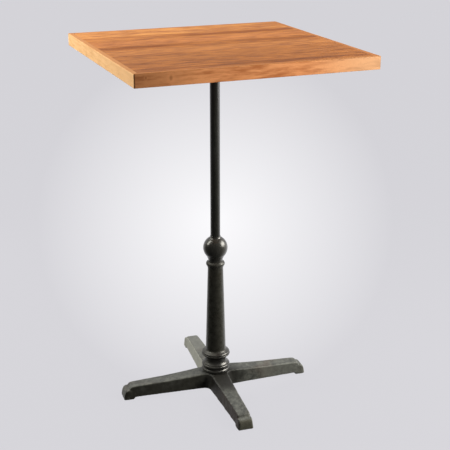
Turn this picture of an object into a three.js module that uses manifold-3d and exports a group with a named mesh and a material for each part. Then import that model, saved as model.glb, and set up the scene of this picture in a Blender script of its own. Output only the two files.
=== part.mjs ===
// A square bistro table: a planked wooden top on a cast-iron pedestal with four feet.
// Millimetres, +Z up. The origin is on the floor, on the column's axis, and the planks run along X.
// A tie rod clamps base, column, ball, tube and spider together, and the top is screwed to the spider.

import * as THREE from 'three';
import { mergeVertices } from 'three/addons/utils/BufferGeometryUtils.js';
import Module from 'manifold-3d';

const wasm = await Module();
wasm.setup();

// Driving dimensions
const TABLE_HEIGHT = 1106;
const TOP_SIDE = 700;
const EDGE_DEPTH = 37.2;
const BOARD_THICKNESS = 22;
const LIPPING_THICKNESS = 14;
const BOARD_WIDTHS = [114, 112, 92, 73, 85, 84, 112];
const BASE_TURN = THREE.MathUtils.degToRad(-3.7);
const GAP = 0.3;

const TUBE = { outer: 15, inner: 12.4, bottom: 478.3, top: 1061.7 };
const ROD = { radius: 6, bottom: 12, top: 1082 };
const BALL = { radius: 38.2, centre: 474.5, foot: 430.3, spigot: 13.7, spigotEnd: 416 };
const BATTEN = { width: 60, length: 620, offset: 225 };
const SPIDER = { reach: 185, halfWidth: 13, flange: 8, rib: 8, ribEnd: 90, boss: 22, bossEnd: 1028 };
const PAN_SCREW = { head: 5, headHeight: 3, shank: 2.2, length: 26, reaches: [105, 172] };
const SUNK_SCREW = { head: 4.5, headHeight: 2.5, shank: 2, length: 28 };
const GLIDE = { reach: 289, padRadius: 9, padHeight: 5.5, stemRadius: 4, stemTop: 25, lift: 1.2 };
const NUT = { acrossFlats: 19, height: 7 };
const WASHER = { radius: 15, height: 2.5 };

// Leg stations: distance from the axis, underside, top, half width at the underside, half width at the top
const HUB_TOP = 54;
const LEG_UNDERSIDE = 7.5;
const LEG = [
  [0, LEG_UNDERSIDE, HUB_TOP, 34.4, 27.5],
  [50, LEG_UNDERSIDE, HUB_TOP, 34, 27.5],
  [90, LEG_UNDERSIDE, 50.8, 31.6, 26],
  [165, LEG_UNDERSIDE, 46.8, 28.2, 23.3],
  [225, LEG_UNDERSIDE, 45.2, 25.8, 21.6],
  [260, LEG_UNDERSIDE, 44, 24.5, 20.6],
  [279, LEG_UNDERSIDE, 42.8, 24, 19.9],
  [284, LEG_UNDERSIDE, 39.6, 23.8, 19.4],
  [288.5, LEG_UNDERSIDE, 34.4, 23.7, 18.9],
];
const TOE = [
  [270, LEG_UNDERSIDE, 27, 23, 19],
  [275.5, GLIDE.lift, 29, 24.4, 21],
  [284, GLIDE.lift, 32, 24.8, 21.8],
  [290, GLIDE.lift, 33.4, 24.8, 22],
  [295.5, GLIDE.lift, 32.2, 24.8, 22],
  [300, GLIDE.lift, 28.8, 24.4, 21.6],
  [303.6, GLIDE.lift, 22, 23.6, 21],
  [305.7, GLIDE.lift, 13, 22.8, 20.4],
  [306.6, GLIDE.lift, 6, 22, 19.8],
];
// The toes are ground off at slightly different lengths: right, back, left, front
const TOE_TRIM = [-5, -1, 2.5, 0];
const LEG_WALL = 7;
const LEG_HOLLOW_END = 260;
const HUB_FILLET = 20;
const HUB_BOSS = { radius: 22, bottom: 30 };

// Heights and places that follow from them
const BOARD_UNDERSIDE = TABLE_HEIGHT - BOARD_THICKNESS;
const EDGE_UNDERSIDE = TABLE_HEIGHT - EDGE_DEPTH;
const BATTEN_UNDERSIDE = EDGE_UNDERSIDE + GAP;
const SPIDER_TOP = BOARD_UNDERSIDE - GAP;
const SPIDER_WEB = TUBE.top + GAP;
const SPIDER_SEAT = SPIDER_WEB + 8;
const FIELD_HALF = TOP_SIDE / 2 - LIPPING_THICKNESS;
const SIDES = ['right', 'back', 'left', 'front'];
const QUARTER = Math.PI / 2;

const FINISHES = {
  wood: { color: 0xc98550, roughness: 0.5, metalness: 0 },
  edgeWood: { color: 0xd99a62, roughness: 0.5, metalness: 0 },
  blackIron: { color: 0x26251f, roughness: 0.35, metalness: 0.6 },
  castIron: { color: 0x4a4b45, roughness: 0.65, metalness: 0.5 },
  steel: { color: 0x8c8d8f, roughness: 0.4, metalness: 0.9 },
  nylon: { color: 0x1c1c1c, roughness: 0.6, metalness: 0 },
};

// ---- Solids: three.js geometry goes in for joining and cutting, and comes back out ----

function solid(geometry) {
  geometry.deleteAttribute('normal');
  geometry.deleteAttribute('uv');
  const welded = mergeVertices(geometry, 1e-4);
  return new wasm.Manifold(new wasm.Mesh({
    numProp: 3,
    vertProperties: welded.attributes.position.array,
    triVerts: Uint32Array.from(welded.index.array),
  }));
}

function toGeometry(manifold) {
  const mesh = manifold.getMesh();
  const geometry = new THREE.BufferGeometry();
  geometry.setAttribute('position', new THREE.BufferAttribute(mesh.vertProperties, mesh.numProp));
  geometry.setIndex(new THREE.BufferAttribute(mesh.triVerts, 1));
  geometry.computeVertexNormals();
  return geometry;
}

const joined = (solids) => solids.reduce((whole, next) => whole.add(next));
const cut = (whole, tools) => tools.reduce((rest, tool) => rest.subtract(tool), whole);

// A round piece about a vertical axis, from [radius, height] points that run up its outside
function turned(profile, segments = 24, [x, y, z] = [0, 0, 0]) {
  const points = profile.map(([radius, height]) => new THREE.Vector2(radius, height));
  return solid(new THREE.LatheGeometry(points, segments).rotateX(QUARTER).translate(x, y, z));
}

function cylinder(radius, bottom, top, segments = 16) {
  return turned([[0, bottom], [radius, bottom], [radius, top], [0, top]], segments);
}

function ring(inner, outer, bottom, top, segments = 24) {
  const section = [[inner, bottom], [outer, bottom], [outer, top], [inner, top], [inner, bottom]];
  return turned(section, segments);
}

function block([x0, y0, z0], [x1, y1, z1]) {
  const box = new THREE.BoxGeometry(x1 - x0, y1 - y0, z1 - z0);
  return solid(box.translate((x0 + x1) / 2, (y0 + y1) / 2, (z0 + z1) / 2));
}

// A half-round bead on a turned profile, from its lower edge to its upper edge
function bead(lower, upper, root, crest, steps = 4) {
  return Array.from({ length: steps + 1 }, (_, step) => {
    const angle = (step / steps) * Math.PI;
    const height = (lower + upper) / 2 - ((upper - lower) / 2) * Math.cos(angle);
    return [root + (crest - root) * Math.sin(angle), height];
  });
}

const part = new THREE.Group();
const pedestal = new THREE.Group();
const tableTop = new THREE.Group();
pedestal.rotation.z = BASE_TURN;
part.add(pedestal, tableTop);

function place(group, name, manifold, finish) {
  const mesh = new THREE.Mesh(toGeometry(manifold), new THREE.MeshStandardMaterial(FINISHES[finish]));
  mesh.name = name;
  group.add(mesh);
  return mesh;
}

// ---- Base casting: a hub and four legs, hollow below, each ending in a solid toe ----

// The unit section of a leg, two wide and one high, with rounded upper corners
function legSection() {
  const section = new THREE.Shape();
  section.moveTo(-1, 0);
  section.lineTo(1, 0);
  section.absellipse(0.8, 0.88, 0.2, 0.12, 0, QUARTER);
  section.absellipse(-0.8, 0.88, 0.2, 0.12, QUARTER, Math.PI);
  return section;
}

// A bar along a leg whose section follows the stations
function stationedBar(stations, angle) {
  const steps = stations.length - 1;
  const settings = { depth: steps, steps, bevelEnabled: false, curveSegments: 2 };
  const geometry = new THREE.ExtrudeGeometry(legSection(), settings);
  const points = geometry.attributes.position;
  for (let i = 0; i < points.count; i++) {
    const side = points.getX(i);
    const level = points.getY(i);
    const [reach, bottom, top, halfBottom, halfTop] = stations[Math.round(points.getZ(i))];
    const half = THREE.MathUtils.lerp(halfBottom, halfTop, level);
    points.setXYZ(i, reach, side * half, THREE.MathUtils.lerp(bottom, top, level));
  }
  return solid(geometry.rotateZ(angle));
}

// Stations with everything past the hollow moved along the leg
function trimmed(stations, trim) {
  return stations.map(([reach, ...rest]) => [reach > LEG_HOLLOW_END ? reach + trim : reach, ...rest]);
}

// The leg again, a wall smaller and open below
function hollowStations() {
  const inner = LEG.filter(([reach]) => reach <= LEG_HOLLOW_END);
  return inner.map(([reach, , top, halfBottom, halfTop]) => (
    [reach, 0, top - LEG_WALL - 2, halfBottom - LEG_WALL, halfTop - LEG_WALL]
  ));
}

// The hub: a square cross with a concave fillet between neighbouring legs, wider at its foot
function hubCorners() {
  const [, [, bottom, , halfBottom, halfTop]] = LEG;
  const centre = halfTop + HUB_FILLET;
  const outline = new THREE.Shape();
  outline.moveTo(centre, -halfTop);
  for (let corner = 0; corner < 4; corner++) {
    const turn = corner * QUARTER;
    const x = centre * (Math.cos(turn) - Math.sin(turn));
    const y = centre * (Math.sin(turn) + Math.cos(turn));
    outline.absarc(x, y, HUB_FILLET, turn + 3 * QUARTER, turn + 2 * QUARTER, true);
  }
  const settings = { depth: HUB_TOP - 1 - bottom, bevelEnabled: false, curveSegments: 4 };
  const geometry = new THREE.ExtrudeGeometry(outline, settings);
  const points = geometry.attributes.position;
  for (let i = 0; i < points.count; i++) {
    if (points.getZ(i) > 0) continue;
    const x = points.getX(i);
    const y = points.getY(i);
    const draft = halfBottom - halfTop;
    points.setXY(i, x + Math.sign(x) * draft, y + Math.sign(y) * draft);
  }
  return solid(geometry.translate(0, 0, bottom));
}

// The pocket in a toe for a glide's pad, and the hole above it for the stem
function glideHole(angle) {
  const ceiling = GLIDE.padHeight + GAP;
  const pocket = GLIDE.padRadius + 0.6;
  const hole = GLIDE.stemRadius + GAP;
  const end = GLIDE.stemTop + 1;
  const profile = [[0, 0], [pocket, 0], [pocket, ceiling], [hole, ceiling], [hole, end], [0, end]];
  return turned(profile, 16, [GLIDE.reach * Math.cos(angle), GLIDE.reach * Math.sin(angle), 0]);
}

function baseCasting() {
  const angles = SIDES.map((_, leg) => leg * QUARTER);
  const legs = angles.flatMap((angle, leg) => (
    [LEG, TOE].map((stations) => stationedBar(trimmed(stations, TOE_TRIM[leg]), angle))
  ));
  const hollows = angles.map((angle) => stationedBar(hollowStations(), angle));
  const boss = cylinder(HUB_BOSS.radius, HUB_BOSS.bottom, HUB_TOP - 1);
  const shell = cut(joined([hubCorners(), ...legs]), hollows).add(boss);
  return cut(shell, [cylinder(ROD.radius + 0.5, 0, HUB_TOP + 1), ...angles.map(glideHole)]);
}

place(pedestal, 'base_casting', baseCasting(), 'castIron');

// ---- Levelling glides: a pad under a threaded stem, one in each toe ----

function glidePad() {
  const { padRadius, padHeight, stemRadius } = GLIDE;
  const seat = 2.5;
  const hole = stemRadius + GAP;
  return turned([
    [0, 0], [padRadius - 1.2, 0], [padRadius, 1.2], [padRadius, padHeight], [hole, padHeight],
    [hole, seat], [0, seat],
  ], 16);
}

function glideStem() {
  const { stemRadius, stemTop } = GLIDE;
  const foot = 2.5 + GAP;
  return turned([
    [0, foot], [stemRadius, foot], [stemRadius, stemTop - 1], [stemRadius - 1, stemTop], [0, stemTop],
  ], 12);
}

SIDES.forEach((side, leg) => {
  const x = GLIDE.reach * Math.cos(leg * QUARTER);
  const y = GLIDE.reach * Math.sin(leg * QUARTER);
  place(pedestal, `glide_pad_${side}`, glidePad(), 'nylon').position.set(x, y, 0);
  place(pedestal, `glide_stem_${side}`, glideStem(), 'steel').position.set(x, y, 0);
});

// ---- Column casting: turned rings at its foot, a tapered shaft and a collar ----

const columnOutside = [
  ...bead(HUB_TOP + GAP, 64.8, 42, 45),
  [40.8, 65.6], [40.4, 70.4],
  ...bead(71.4, 79.2, 42.4, 45),
  [40.4, 79.9], [40.4, 80.9], [40.6, 82], [36.6, 85.6], [34.4, 89], [33.6, 92.4], [33.8, 97.6], [35, 101],
  [36.8, 104.8], [41, 107.8], [44, 110.4], [45, 112.4], [44.6, 114.4], [43, 115.2], [43, 116.2],
  [44, 117.2], [43.4, 119], [40.8, 121.6], [36.6, 123.8], [33.6, 126.2], [31.9, 130.4],
  [24, 409], [25, 411], [25, 413], [24.4, 414],
  ...bead(415, 428.6, 26, 29.4),
  [24.6, 429.4], [24.6, 430],
];
const columnBore = [[14, 430], [14, 408], [15, 404], [22, 134], [24, 100], [24, HUB_TOP + GAP]];
const columnProfile = [...columnOutside, ...columnBore, columnOutside[0]];
place(pedestal, 'column_casting', turned(columnProfile, 28), 'castIron');

// ---- Ball: a spigot and a neck below it, and a socket for the tube above ----

function ballOutside(steps = 10) {
  const lowest = -0.74;
  const highest = 1;
  return Array.from({ length: steps + 1 }, (_, step) => {
    const angle = lowest + ((highest - lowest) * step) / steps;
    return [BALL.radius * Math.cos(angle), BALL.centre + BALL.radius * Math.sin(angle)];
  });
}

const socket = TUBE.outer + GAP;
const rodHole = ROD.radius + 1;
place(pedestal, 'ball', turned([
  [rodHole, BALL.spigotEnd], [BALL.spigot, BALL.spigotEnd], [BALL.spigot, BALL.foot], [23, BALL.foot],
  [22.4, 433], [23.2, 438], [25.4, 443],
  ...ballOutside(),
  [17.6, 508], [16.4, 513], [socket, 514], [socket, TUBE.bottom - GAP], [rodHole, TUBE.bottom - GAP],
  [rodHole, BALL.spigotEnd],
], 28), 'blackIron');

place(pedestal, 'upper_tube', ring(TUBE.inner, TUBE.outer, TUBE.bottom, TUBE.top), 'blackIron');

// ---- Tie rod, with a washer and a nut under the hub and in the spider ----

place(pedestal, 'tie_rod', cylinder(ROD.radius, ROD.bottom, ROD.top), 'steel');

function nut(bottom) {
  const corner = NUT.acrossFlats / Math.sqrt(3);
  const hole = cylinder(ROD.radius + GAP, bottom - 1, bottom + NUT.height + 1);
  return cylinder(corner, bottom, bottom + NUT.height, 6).subtract(hole);
}

const washer = (bottom) => ring(ROD.radius + GAP, WASHER.radius, bottom, bottom + WASHER.height);
const upperWasher = SPIDER_SEAT + GAP;
const lowerWasher = HUB_BOSS.bottom - GAP - WASHER.height;
place(pedestal, 'washer_upper', washer(upperWasher), 'steel');
place(pedestal, 'nut_upper', nut(upperWasher + WASHER.height + GAP), 'steel');
place(pedestal, 'washer_lower', washer(lowerWasher), 'steel');
place(pedestal, 'nut_lower', nut(lowerWasher - GAP - NUT.height), 'steel');

// ---- Spider: a boss over the tube and four ribbed arms under the boards ----

const armAngles = SIDES.map((_, arm) => (arm + 0.5) * QUARTER);

function spiderArm(angle) {
  const { reach, halfWidth, flange, rib, ribEnd, boss, bossEnd } = SPIDER;
  const outline = new THREE.Shape();
  outline.moveTo(0, -halfWidth);
  outline.absarc(reach - halfWidth, 0, halfWidth, -QUARTER, QUARTER);
  outline.lineTo(0, halfWidth);
  const plate = new THREE.ExtrudeGeometry(outline, { depth: flange, bevelEnabled: false, curveSegments: 6 });
  plate.translate(0, 0, SPIDER_TOP - flange);
  const side = new THREE.Shape();
  side.moveTo(boss - 4, bossEnd + 6);
  side.quadraticCurveTo(boss + 10, SPIDER_TOP - 14, ribEnd, SPIDER_TOP - flange);
  side.lineTo(ribEnd, SPIDER_TOP - 1);
  side.lineTo(boss - 4, SPIDER_TOP - 1);
  const web = new THREE.ExtrudeGeometry(side, { depth: rib, bevelEnabled: false, curveSegments: 6 });
  web.translate(0, 0, -rib / 2).rotateX(QUARTER);
  return solid(plate.rotateZ(angle)).add(solid(web.rotateZ(angle)));
}

function spider(screwHoles) {
  const { boss, bossEnd } = SPIDER;
  const pocket = WASHER.radius + 1;
  const core = turned([
    [socket, bossEnd], [boss, bossEnd], [boss + 2, SPIDER_TOP - 14], [38, SPIDER_TOP - 8], [38, SPIDER_TOP],
    [pocket, SPIDER_TOP], [pocket, SPIDER_SEAT], [rodHole, SPIDER_SEAT], [rodHole, SPIDER_WEB],
    [socket, SPIDER_WEB], [socket, bossEnd],
  ]);
  const inside = [
    cylinder(pocket, SPIDER_SEAT, SPIDER_TOP + 1, 24),
    cylinder(boss - 1, bossEnd - 1, SPIDER_SEAT, 24),
  ];
  const arms = armAngles.map((angle) => cut(spiderArm(angle), inside));
  return cut(joined([core, ...arms]), screwHoles);
}

// ---- Wood screws, point up ----

function panScrew([x, y]) {
  const { head, headHeight, shank, length } = PAN_SCREW;
  return turned([
    [0, 0], [head * 0.7, 0], [head, headHeight / 2], [head, headHeight], [shank, headHeight],
    [shank, length - 4], [0, length],
  ], 8, [x, y, SPIDER_TOP - SPIDER.flange - GAP - headHeight]);
}

function panScrewHole([x, y]) {
  const { shank, length } = PAN_SCREW;
  const hole = shank + GAP;
  const bottom = SPIDER_TOP - SPIDER.flange - 1;
  return turned([[0, 0], [hole, 0], [hole, length], [0, length]], 8, [x, y, bottom]);
}

function sunkScrew([x, y]) {
  const { head, headHeight, shank, length } = SUNK_SCREW;
  const profile = [[0, 0], [head, 0], [shank, headHeight], [shank, length - 4], [0, length]];
  return turned(profile, 8, [x, y, BATTEN_UNDERSIDE + GAP]);
}

function sunkScrewHole([x, y]) {
  const { head, headHeight, shank, length } = SUNK_SCREW;
  const [mouth, hole] = [head + GAP, shank + GAP];
  const profile = [[0, -1], [mouth, -1], [mouth, GAP], [hole, headHeight + GAP], [hole, length], [0, length + 1]];
  return turned(profile, 8, [x, y, BATTEN_UNDERSIDE + GAP]);
}

// ---- Top: boards counted from the front, two battens across them, and mitred lippings ----

const boardEdges = [-FIELD_HALF];
for (const width of BOARD_WIDTHS) boardEdges.push(boardEdges.at(-1) + width);

const panScrewPlaces = armAngles.flatMap((angle) => (
  PAN_SCREW.reaches.map((reach) => [reach * Math.cos(angle), reach * Math.sin(angle)])
));
const sunkScrewPlaces = [-BATTEN.offset, BATTEN.offset].map((x) => (
  BOARD_WIDTHS.map((width, index) => [x, boardEdges[index] + width / 2])
));
const panHoles = panScrewPlaces.map(panScrewHole);

place(tableTop, 'top_spider', spider(panHoles), 'castIron');
panScrewPlaces.forEach((at, index) => {
  place(tableTop, `spider_screw_${index + 1}`, panScrew(at), 'steel');
});

BOARD_WIDTHS.forEach((width, index) => {
  const [front, back] = [boardEdges[index] + GAP / 2, boardEdges[index + 1] - GAP / 2];
  const end = FIELD_HALF - GAP / 2;
  const plank = block([-end, front, BOARD_UNDERSIDE], [end, back, TABLE_HEIGHT]);
  const holes = [...panHoles, ...sunkScrewPlaces.flat().map(sunkScrewHole)];
  place(tableTop, `board_${index + 1}`, cut(plank, holes), 'wood');
});

['left', 'right'].forEach((side, index) => {
  const places = sunkScrewPlaces[index];
  const x = places[0][0];
  const [half, end] = [BATTEN.width / 2, BATTEN.length / 2];
  const strip = block([x - half, -end, BATTEN_UNDERSIDE], [x + half, end, BOARD_UNDERSIDE - GAP]);
  place(tableTop, `batten_${side}`, cut(strip, places.map(sunkScrewHole)), 'wood');
  places.forEach((at, row) => {
    place(tableTop, `batten_screw_${side}_${row + 1}`, sunkScrew(at), 'steel');
  });
});

function lipping(angle) {
  const outer = TOP_SIDE / 2;
  const outline = new THREE.Shape();
  outline.moveTo(outer, -outer + GAP / 2);
  outline.lineTo(outer, outer - GAP / 2);
  outline.lineTo(FIELD_HALF, FIELD_HALF - GAP / 2);
  outline.lineTo(FIELD_HALF, -FIELD_HALF + GAP / 2);
  const strip = new THREE.ExtrudeGeometry(outline, { depth: EDGE_DEPTH, bevelEnabled: false });
  return solid(strip.rotateZ(angle).translate(0, 0, EDGE_UNDERSIDE));
}

SIDES.forEach((side, index) => {
  place(tableTop, `lipping_${side}`, lipping(index * QUARTER), 'edgeWood');
});

export default part;
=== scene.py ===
"""A bistro table: its looks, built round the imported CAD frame. Metres, +Z up, the floor at 0."""

import math

import bmesh
import bpy
from mathutils import Matrix, Vector, noise


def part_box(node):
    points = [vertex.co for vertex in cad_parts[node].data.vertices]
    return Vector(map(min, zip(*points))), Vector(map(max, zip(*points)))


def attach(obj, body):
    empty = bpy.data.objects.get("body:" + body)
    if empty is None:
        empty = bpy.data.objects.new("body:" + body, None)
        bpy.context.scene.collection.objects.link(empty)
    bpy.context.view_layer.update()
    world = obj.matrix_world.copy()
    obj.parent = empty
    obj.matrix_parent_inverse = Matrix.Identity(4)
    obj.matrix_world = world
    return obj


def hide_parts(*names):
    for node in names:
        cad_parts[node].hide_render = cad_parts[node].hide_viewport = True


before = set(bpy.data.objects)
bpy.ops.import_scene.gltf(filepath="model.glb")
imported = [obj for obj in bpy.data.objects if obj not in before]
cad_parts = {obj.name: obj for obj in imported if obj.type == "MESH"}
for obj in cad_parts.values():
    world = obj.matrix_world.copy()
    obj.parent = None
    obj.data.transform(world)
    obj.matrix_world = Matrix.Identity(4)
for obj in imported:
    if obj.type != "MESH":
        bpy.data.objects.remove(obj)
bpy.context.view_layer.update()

MM = 0.001
ARC_STEP = math.radians(9)


# -------------------------------- places taken from the frame

def centre(node):
    low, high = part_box(node)
    return (low + high) / 2


SIDES = ("right", "back", "left", "front")
TURN = math.atan2(centre("glide_pad_right").y, centre("glide_pad_right").x)


# -------------------------------- meshes

def new_piece(name, bm, body="table", smooth_angle=None):
    """A mesh object from a bmesh, smooth shaded, riding on a CAD body."""
    bmesh.ops.recalc_face_normals(bm, faces=bm.faces)
    mesh = bpy.data.meshes.new(name)
    bm.to_mesh(mesh)
    bm.free()
    mesh.shade_smooth()
    if smooth_angle is not None:
        mesh.set_sharp_from_angle(angle=math.radians(smooth_angle))
    piece = bpy.data.objects.new(name, mesh)
    bpy.context.scene.collection.objects.link(piece)
    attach(piece, body)
    return piece


def apply_modifiers(piece):
    """Keeps the mesh that the modifiers make, and drops the modifiers."""
    graph = bpy.context.evaluated_depsgraph_get()
    mesh = bpy.data.meshes.new_from_object(piece.evaluated_get(graph))
    mesh.name = piece.name
    piece.modifiers.clear()
    piece.data = mesh
    return piece


def soften(piece, width, angle):
    """Rounds the sharp edges by width, and keeps the flat faces flat in shading."""
    bevel = piece.modifiers.new("ease", "BEVEL")
    bevel.width = width
    bevel.segments = 3
    bevel.limit_method = "ANGLE"
    bevel.angle_limit = math.radians(angle)
    weight = piece.modifiers.new("flats", "WEIGHTED_NORMAL")
    weight.keep_sharp = True
    return apply_modifiers(piece)


def arc_points(start, end, bulge):
    """Points from start up to, not including, end, on an arc. It stands out by bulge times half its chord."""
    if bulge == 0:
        return [start]
    (r0, z0), (r1, z1) = start, end
    angle = 4 * math.atan(bulge)
    middle = Vector(((r0 + r1) / 2, (z0 + z1) / 2))
    chord = Vector((r1 - r0, z1 - z0))
    across = Vector((-chord.y, chord.x))
    hub = middle + across * (1 - bulge * bulge) / (4 * bulge)
    count = max(2, round(abs(angle) / ARC_STEP))
    spoke = Vector(start) - hub
    points = []
    for i in range(count):
        turn = angle * i / count
        turned = Vector((
            spoke.x * math.cos(turn) - spoke.y * math.sin(turn),
            spoke.x * math.sin(turn) + spoke.y * math.cos(turn),
        ))
        points.append(tuple(hub + turned))
    return points


def outline(corners):
    """A turned outline in mm from (radius, height, bulge to the next corner) rows, in metres."""
    points = []
    for (r0, z0, bulge), (r1, z1, _) in zip(corners, corners[1:]):
        points += arc_points((r0, z0), (r1, z1), bulge)
    points.append(corners[-1][:2])
    return [(r * MM, z * MM) for r, z in points]


def lathe(profile, segments, base=Vector((0, 0, 0)), warp=None):
    """A closed solid turned about a vertical axis. A warp(angle, radius, height) may change each radius."""
    bm = bmesh.new()
    rings = []
    for radius, height in profile:
        if radius < 1e-6:
            rings.append([bm.verts.new(base + Vector((0, 0, height)))])
            continue
        ring = []
        for i in range(segments):
            angle = 2 * math.pi * i / segments
            reach = warp(angle, radius, height) if warp else radius
            spot = Vector((reach * math.cos(angle), reach * math.sin(angle), height))
            ring.append(bm.verts.new(base + spot))
        rings.append(ring)
    pairs = list(zip(rings, rings[1:]))
    if len(rings[0]) > 1:
        pairs.append((rings[-1], rings[0]))
    for low, high in pairs:
        for i in range(segments):
            j = (i + 1) % segments
            if len(low) == 1 and len(high) == 1:
                break
            if len(low) == 1:
                bm.faces.new((low[0], high[j], high[i]))
            elif len(high) == 1:
                bm.faces.new((low[i], low[j], high[0]))
            else:
                bm.faces.new((low[i], low[j], high[j], high[i]))
    return bm


def sweep(rings):
    """A closed solid through rings of points, capped at both ends."""
    bm = bmesh.new()
    made = [[bm.verts.new(point) for point in ring] for ring in rings]
    count = len(rings[0])
    for low, high in zip(made, made[1:]):
        for i in range(count):
            j = (i + 1) % count
            bm.faces.new((low[i], low[j], high[j], high[i]))
    bm.faces.new(made[0][::-1])
    bm.faces.new(made[-1])
    return bm


def merge(parts):
    """One bmesh that holds every given bmesh."""
    whole = bmesh.new()
    for bm in parts:
        holder = bpy.data.meshes.new("holder")
        bmesh.ops.recalc_face_normals(bm, faces=bm.faces)
        bm.to_mesh(holder)
        bm.free()
        whole.from_mesh(holder)
        bpy.data.meshes.remove(holder)
    return whole


def scratch_object(name, bm):
    """An object that rides on nothing: a tool, a blank or the floor."""
    mesh = bpy.data.meshes.new(name)
    bm.to_mesh(mesh)
    bm.free()
    piece = bpy.data.objects.new(name, mesh)
    bpy.context.scene.collection.objects.link(piece)
    return piece


def voxelised(piece, size):
    """The piece's solids joined into one skin of even faces."""
    remesh = piece.modifiers.new("voxels", "REMESH")
    remesh.mode = "VOXEL"
    remesh.voxel_size = size
    return apply_modifiers(piece)


def carved(piece, cutters):
    """The piece with every cutter solid taken out of it."""
    tool = scratch_object("tool", merge(cutters))
    cut = piece.modifiers.new("cut", "BOOLEAN")
    cut.operation = "DIFFERENCE"
    cut.solver = "MANIFOLD"
    cut.object = tool
    apply_modifiers(piece)
    bpy.data.objects.remove(tool)
    return piece


CAST_SKIN = ((55, 0.7), (210, 0.3))     # the scale and the share of each layer of unevenness


def cast(name, solids, hollows, size, rounds, grain):
    """An iron casting: solids joined in voxels of a size, hollows cut out, edges smoothed in some rounds, and
    the skin uneven by grain."""
    piece = voxelised(scratch_object(name, merge(solids)), size)
    cutter = voxelised(scratch_object(name + "_cutter", merge(hollows)), size)
    bm = bmesh.new()
    bm.from_mesh(cutter.data)
    bpy.data.objects.remove(cutter)
    voxelised(carved(piece, [bm]), size)
    smooth = piece.modifiers.new("round", "SMOOTH")
    smooth.factor = 0.5
    smooth.iterations = rounds
    apply_modifiers(piece)
    bm = bmesh.new()
    bm.from_mesh(piece.data)
    bpy.data.objects.remove(piece)
    bm.normal_update()
    for vert in bm.verts:
        height = sum(share * noise.noise(vert.co * scale) for scale, share in CAST_SKIN)
        vert.co += vert.normal * grain * height
    return new_piece(name, bm)


# -------------------------------- materials

class Finish:
    """A node material, with short calls for the nodes that the finishes share."""

    def __init__(self, name):
        self.material = bpy.data.materials.new(name)
        self.material.use_nodes = True
        self.tree = self.material.node_tree
        self.tree.nodes.clear()
        self.shader = self.tree.nodes.new("ShaderNodeBsdfPrincipled")
        output = self.tree.nodes.new("ShaderNodeOutputMaterial")
        self.tree.links.new(self.shader.outputs[0], output.inputs["Surface"])
        self.place = self.tree.nodes.new("ShaderNodeTexCoord").outputs["Object"]

    def feed(self, socket, value):
        """Links an output to the socket, or sets the socket to a constant."""
        if isinstance(value, bpy.types.NodeSocket):
            self.tree.links.new(value, socket)
        else:
            socket.default_value = value

    def set(self, **values):
        """Feeds the shader's sockets, named with underscores for spaces."""
        for name, value in values.items():
            self.feed(self.shader.inputs[name.replace("_", " ")], value)

    def math(self, operation, a, b=0.0, clamp=False):
        node = self.tree.nodes.new("ShaderNodeMath")
        node.operation = operation
        node.use_clamp = clamp
        self.feed(node.inputs[0], a)
        self.feed(node.inputs[1], b)
        return node.outputs[0]

    def times(self, a, b):
        return self.math("MULTIPLY", a, b)

    def plus(self, a, b):
        return self.math("ADD", a, b)

    def minus(self, a, b, clamp=False):
        return self.math("SUBTRACT", a, b, clamp)

    def vector(self, operation, a, b):
        node = self.tree.nodes.new("ShaderNodeVectorMath")
        node.operation = operation
        self.feed(node.inputs[0], a)
        self.feed(node.inputs[1], b)
        return node.outputs

    def axis(self, vector, index):
        node = self.tree.nodes.new("ShaderNodeSeparateXYZ")
        self.feed(node.inputs[0], vector)
        return node.outputs[index]

    def stretched(self, scale, shift=(0, 0, 0), vector=None):
        """Object coordinates, or the given vector, scaled along each axis and shifted."""
        node = self.tree.nodes.new("ShaderNodeMapping")
        self.feed(node.inputs["Vector"], self.place if vector is None else vector)
        node.inputs["Scale"].default_value = scale
        node.inputs["Location"].default_value = shift
        return node.outputs[0]

    def noise(self, vector, scale=1.0, detail=3.0, roughness=0.5, distortion=0.0):
        node = self.tree.nodes.new("ShaderNodeTexNoise")
        self.feed(node.inputs["Vector"], vector)
        self.feed(node.inputs["Scale"], scale)
        self.feed(node.inputs["Detail"], detail)
        self.feed(node.inputs["Roughness"], roughness)
        self.feed(node.inputs["Distortion"], distortion)
        return node.outputs[0]

    def ramp(self, value, low, high, to_low=0.0, to_high=1.0):
        """value carried smoothly from low..high to to_low..to_high."""
        node = self.tree.nodes.new("ShaderNodeMapRange")
        node.interpolation_type = "SMOOTHSTEP"
        for socket, item in zip(node.inputs, (value, low, high, to_low, to_high)):
            self.feed(socket, item)
        return node.outputs[0]

    def mix(self, factor, a, b):
        node = self.tree.nodes.new("ShaderNodeMix")
        node.data_type = "RGBA"
        self.feed(node.inputs["Factor"], factor)
        for socket, value in ((node.inputs[6], a), (node.inputs[7], b)):
            colour = value if isinstance(value, bpy.types.NodeSocket) else (*value, 1.0)
            self.feed(socket, colour)
        return node.outputs[2]

    def bump(self, height, distance, strength=1.0):
        node = self.tree.nodes.new("ShaderNodeBump")
        node.inputs["Strength"].default_value = strength
        node.inputs["Distance"].default_value = distance
        self.feed(node.inputs["Height"], height)
        return node.outputs[0]

    def edges(self, low, high):
        """1 on sharp outer edges, from the mesh's pointiness."""
        node = self.tree.nodes.new("ShaderNodeNewGeometry")
        return self.ramp(node.outputs["Pointiness"], low, high)


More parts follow.
